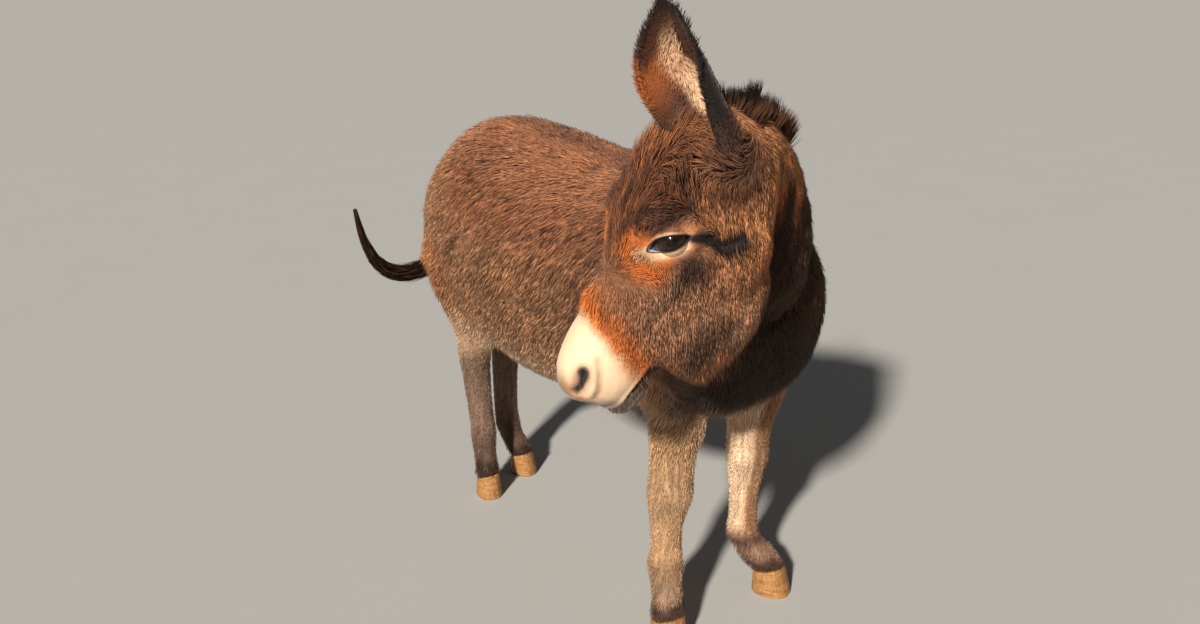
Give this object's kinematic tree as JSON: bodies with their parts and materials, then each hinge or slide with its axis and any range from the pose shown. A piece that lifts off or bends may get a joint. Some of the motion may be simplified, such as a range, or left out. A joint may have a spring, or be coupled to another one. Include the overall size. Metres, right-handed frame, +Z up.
{
  "type": "miniature donkey",
  "caption": "Miniature donkey standing in a shaggy dark brown winter coat, head turned to its right, pale muzzle, upright black mane, tail curled to one side.",
  "frame": {"origin": "on the ground, under the middle of the animal's outline", "axes": "+Z up, the trunk points along -Y from rump to chest, the animal's left side is +X"},
  "size_m": [0.7176, 1.3028, 1.2362],
  "materials": {
    "coat": "matte shaggy hair",
    "dark_hair": "coarse black hair",
    "horn": "dull horn with fine growth rings",
    "eye": "wet and glossy"
  },
  "bodies": {
    "root": {"head": "coat", "neck": "coat", "trunk": "coat", "fore_right_leg": "coat", "fore_right_cannon": "coat", "fore_right_hoof": "horn", "fore_left_leg": "coat", "fore_left_cannon": "coat", "fore_left_hoof": "horn", "hind_right_leg": "coat", "hind_right_cannon": "coat", "hind_right_hoof": "horn", "hind_left_leg": "coat", "hind_left_cannon": "coat", "hind_left_hoof": "horn", "eye_left": "eye", "eye_right": "eye", "ear_left": "coat", "ear_right": "coat", "mane": "dark_hair", "tail_dock": "dark_hair", "tail_tuft": "dark_hair"}
  },
  "joints": []
}
